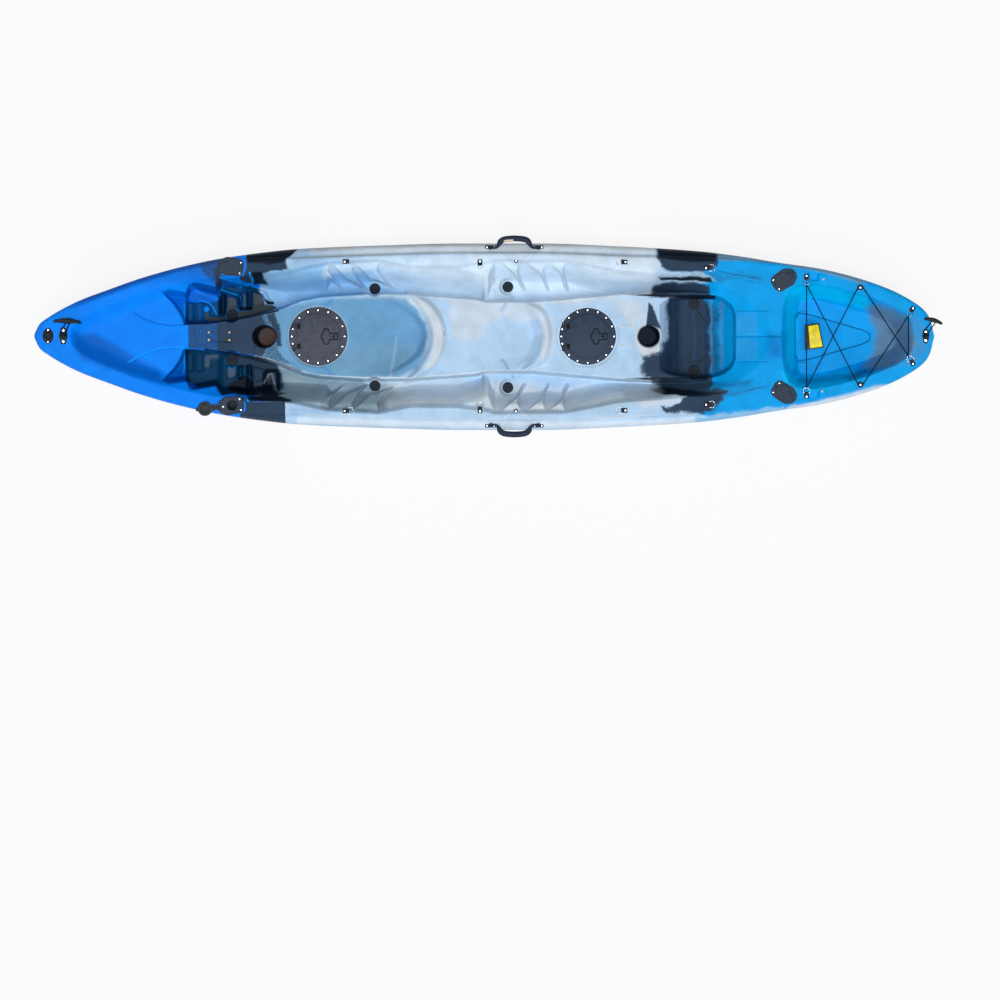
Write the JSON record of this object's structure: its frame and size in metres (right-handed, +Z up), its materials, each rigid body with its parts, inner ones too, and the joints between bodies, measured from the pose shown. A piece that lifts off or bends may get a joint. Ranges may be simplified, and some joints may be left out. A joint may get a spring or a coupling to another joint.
{
  "type": "sit-on-top kayak",
  "caption": "Rigid sit-on-top tandem kayak with moulded seats and footwells, hatches, rod holders, lashing rings, carry and tow handles, and a tankwell with bungee.",
  "frame": {"origin": "centre of the bounding box at the level of the flat keel it rests on", "axes": "+X towards the stern, +Y towards starboard, +Z up"},
  "size_m": [3.9908, 0.891, 0.3745],
  "materials": {
    "deck_plastic": "rotomoulded polyethylene, marbled blue, white and charcoal",
    "hull_plastic": "rotomoulded polyethylene",
    "fitting_plastic": "moulded black nylon",
    "lid_plastic": "satin black moulded plastic",
    "ring_steel": "stainless steel wire",
    "cord_black": "braided black cord"
  },
  "bodies": {
    "boat": {"bungee": "cord_black", "d_ring_well_front_port": "ring_steel", "d_ring_well_front_starboard": "ring_steel", "d_ring_well_rear_port": "ring_steel", "d_ring_well_rear_starboard": "ring_steel", "deck_shell": "deck_plastic", "hatch_ring_front": "fitting_plastic", "hatch_ring_rear": "fitting_plastic", "hull_shell": "hull_plastic", "knob_port": "fitting_plastic", "knob_starboard": "fitting_plastic", "pad_eye_bow": "fitting_plastic", "pad_eye_stern": "fitting_plastic", "rod_holder_bow_port": "fitting_plastic", "rod_holder_bow_starboard": "fitting_plastic", "rod_holder_stern_port": "fitting_plastic", "rod_holder_stern_starboard": "fitting_plastic", "saddle_front_port": "fitting_plastic", "saddle_front_starboard": "fitting_plastic", "saddle_middle_port": "fitting_plastic", "saddle_middle_starboard": "fitting_plastic", "saddle_rear_port": "fitting_plastic", "saddle_rear_starboard": "fitting_plastic", "saddle_seat_port": "fitting_plastic", "saddle_seat_starboard": "fitting_plastic", "saddle_well_front_port": "fitting_plastic", "saddle_well_front_starboard": "fitting_plastic", "saddle_well_rear_port": "fitting_plastic", "saddle_well_rear_starboard": "fitting_plastic"},
    "d_ring_front_port": {"d_ring_front_port": "ring_steel"},
    "d_ring_front_starboard": {"d_ring_front_starboard": "ring_steel"},
    "d_ring_middle_port": {"d_ring_middle_port": "ring_steel"},
    "d_ring_middle_starboard": {"d_ring_middle_starboard": "ring_steel"},
    "d_ring_rear_port": {"d_ring_rear_port": "ring_steel"},
    "d_ring_rear_starboard": {"d_ring_rear_starboard": "ring_steel"},
    "d_ring_seat_port": {"d_ring_seat_port": "ring_steel"},
    "d_ring_seat_starboard": {"d_ring_seat_starboard": "ring_steel"},
    "drain_plug": {"drain_plug": "fitting_plastic"},
    "hatch_latch_front": {"hatch_latch_front": "fitting_plastic"},
    "hatch_latch_rear": {"hatch_latch_rear": "fitting_plastic"},
    "hatch_lid_front": {"hatch_lid_front": "lid_plastic"},
    "hatch_lid_rear": {"hatch_lid_rear": "lid_plastic"},
    "rod_cap_bow_port": {"rod_cap_bow_port": "fitting_plastic"},
    "rod_cap_bow_starboard": {"rod_cap_bow_starboard": "fitting_plastic"},
    "rod_cap_stern_port": {"rod_cap_stern_port": "fitting_plastic"},
    "rod_cap_stern_starboard": {"rod_cap_stern_starboard": "fitting_plastic"},
    "scupper_plug_bow_port": {"scupper_plug_bow_port": "fitting_plastic"},
    "scupper_plug_bow_starboard": {"scupper_plug_bow_starboard": "fitting_plastic"},
    "scupper_plug_front_port": {"scupper_plug_front_port": "fitting_plastic"},
    "scupper_plug_front_starboard": {"scupper_plug_front_starboard": "fitting_plastic"},
    "scupper_plug_middle_port": {"scupper_plug_middle_port": "fitting_plastic"},
    "scupper_plug_middle_starboard": {"scupper_plug_middle_starboard": "fitting_plastic"},
    "scupper_plug_rear_port": {"scupper_plug_rear_port": "fitting_plastic"},
    "scupper_plug_rear_starboard": {"scupper_plug_rear_starboard": "fitting_plastic"},
    "side_handle_port": {"side_handle_port": "fitting_plastic"},
    "side_handle_starboard": {"side_handle_starboard": "fitting_plastic"},
    "toggle_bow": {"toggle_bow": "fitting_plastic", "tow_cord_bow": "cord_black"},
    "toggle_stern": {"toggle_stern": "fitting_plastic", "tow_cord_stern": "cord_black"}
  },
  "joints": [
    {"name": "hatch_lid_front_hinge", "type": "hinge", "parent": "boat", "child": "hatch_lid_front", "pos_m": [-0.85953, 0, 0.27888], "axis": [0, -1, 0], "range_deg": [0, 110]},
    {"name": "hatch_latch_front_hinge", "type": "hinge", "parent": "hatch_lid_front", "child": "hatch_latch_front", "pos_m": [-0.68603, 0, 0.28218], "axis": [0, 1, 0], "range_deg": [0, 90]},
    {"name": "hatch_lid_rear_hinge", "type": "hinge", "parent": "boat", "child": "hatch_lid_rear", "pos_m": [0.32877, 0, 0.27302], "axis": [0, -1, 0], "range_deg": [0, 110]},
    {"name": "hatch_latch_rear_hinge", "type": "hinge", "parent": "hatch_lid_rear", "child": "hatch_latch_rear", "pos_m": [0.50227, 0, 0.27632], "axis": [0, 1, 0], "range_deg": [0, 90]},
    {"name": "rod_cap_bow_starboard_hinge", "type": "hinge", "parent": "boat", "child": "rod_cap_bow_starboard", "pos_m": [-1.19063, 0.31231, 0.32756], "axis": [-0.1218, -0.9925, 0.0047], "range_deg": [0, 180]},
    {"name": "rod_cap_bow_port_hinge", "type": "hinge", "parent": "boat", "child": "rod_cap_bow_port", "pos_m": [-1.19063, -0.31231, 0.32756], "axis": [0.1218, -0.9925, -0.0047], "range_deg": [-182, 0]},
    {"name": "rod_cap_stern_starboard_hinge", "type": "hinge", "parent": "boat", "child": "rod_cap_stern_starboard", "pos_m": [1.34468, 0.27938, 0.31979], "axis": [-0.5445, 0.8387, -0.0136], "range_deg": [0, 180]},
    {"name": "rod_cap_stern_port_hinge", "type": "hinge", "parent": "boat", "child": "rod_cap_stern_port", "pos_m": [1.34468, -0.27938, 0.31979], "axis": [0.5445, 0.8387, 0.0136], "range_deg": [0, 180]},
    {"name": "scupper_plug_bow_port_pull", "type": "slide", "parent": "boat", "child": "scupper_plug_bow_port", "axis": [0, 0, 1], "range_m": [0, 0.06]},
    {"name": "scupper_plug_bow_starboard_pull", "type": "slide", "parent": "boat", "child": "scupper_plug_bow_starboard", "axis": [0, 0, 1], "range_m": [0, 0.06]},
    {"name": "scupper_plug_front_port_pull", "type": "slide", "parent": "boat", "child": "scupper_plug_front_port", "axis": [0, 0, 1], "range_m": [0, 0.06]},
    {"name": "scupper_plug_front_starboard_pull", "type": "slide", "parent": "boat", "child": "scupper_plug_front_starboard", "axis": [0, 0, 1], "range_m": [0, 0.06]},
    {"name": "scupper_plug_middle_port_pull", "type": "slide", "parent": "boat", "child": "scupper_plug_middle_port", "axis": [0, 0, 1], "range_m": [0, 0.06]},
    {"name": "scupper_plug_middle_starboard_pull", "type": "slide", "parent": "boat", "child": "scupper_plug_middle_starboard", "axis": [0, 0, 1], "range_m": [0, 0.06]},
    {"name": "scupper_plug_rear_port_pull", "type": "slide", "parent": "boat", "child": "scupper_plug_rear_port", "axis": [0, 0, 1], "range_m": [0, 0.06]},
    {"name": "scupper_plug_rear_starboard_pull", "type": "slide", "parent": "boat", "child": "scupper_plug_rear_starboard", "axis": [0, 0, 1], "range_m": [0, 0.06]},
    {"name": "side_handle_starboard_hinge", "type": "hinge", "parent": "boat", "child": "side_handle_starboard", "pos_m": [0.11157, 0.39, 0.26643], "axis": [1, 0, 0], "range_deg": [0, 100]},
    {"name": "side_handle_port_hinge", "type": "hinge", "parent": "boat", "child": "side_handle_port", "pos_m": [0.11157, -0.39, 0.26643], "axis": [-1, 0, 0], "range_deg": [0, 100]},
    {"name": "toggle_bow_hinge", "type": "hinge", "parent": "boat", "child": "toggle_bow", "pos_m": [-1.87159, 0, 0.36333], "axis": [0.9979, 0, -0.0654], "range_deg": [0, 150]},
    {"name": "toggle_stern_hinge", "type": "hinge", "parent": "boat", "child": "toggle_stern", "pos_m": [1.92133, 0, 0.33564], "axis": [0.9994, 0, 0.0348], "range_deg": [0, 150]},
    {"name": "d_ring_front_port_hinge", "type": "hinge", "parent": "boat", "child": "d_ring_front_port", "pos_m": [-0.62135, -0.32901, 0.30562], "axis": [0, -1, 0], "range_deg": [0, 150]},
    {"name": "d_ring_front_starboard_hinge", "type": "hinge", "parent": "boat", "child": "d_ring_front_starboard", "pos_m": [-0.62135, 0.32901, 0.30562], "axis": [0, -1, 0], "range_deg": [0, 150]},
    {"name": "d_ring_middle_port_hinge", "type": "hinge", "parent": "boat", "child": "d_ring_middle_port", "pos_m": [-0.04043, -0.315, 0.29889], "axis": [1, 0, 0.0009], "range_deg": [0, 150]},
    {"name": "d_ring_middle_starboard_hinge", "type": "hinge", "parent": "boat", "child": "d_ring_middle_starboard", "pos_m": [-0.04043, 0.315, 0.29889], "axis": [-1, 0, -0.0009], "range_deg": [0, 150]},
    {"name": "d_ring_rear_port_hinge", "type": "hinge", "parent": "boat", "child": "d_ring_rear_port", "pos_m": [0.58552, -0.32678, 0.30192], "axis": [0, 1, 0], "range_deg": [0, 150]},
    {"name": "d_ring_rear_starboard_hinge", "type": "hinge", "parent": "boat", "child": "d_ring_rear_starboard", "pos_m": [0.58552, 0.32678, 0.30192], "axis": [0, 1, 0], "range_deg": [0, 150]},
    {"name": "d_ring_seat_port_hinge", "type": "hinge", "parent": "boat", "child": "d_ring_seat_port", "pos_m": [0.9705, -0.30058, 0.30746], "axis": [0, -1, 0], "range_deg": [0, 150]},
    {"name": "d_ring_seat_starboard_hinge", "type": "hinge", "parent": "boat", "child": "d_ring_seat_starboard", "pos_m": [0.9705, 0.30058, 0.30746], "axis": [0, -1, 0], "range_deg": [0, 150]},
    {"name": "drain_plug_turn", "type": "hinge", "parent": "boat", "child": "drain_plug", "pos_m": [-1.93893, 0, 0.36106], "axis": [0.0679, 0, 0.9977], "range_deg": [0, 360]}
  ]
}
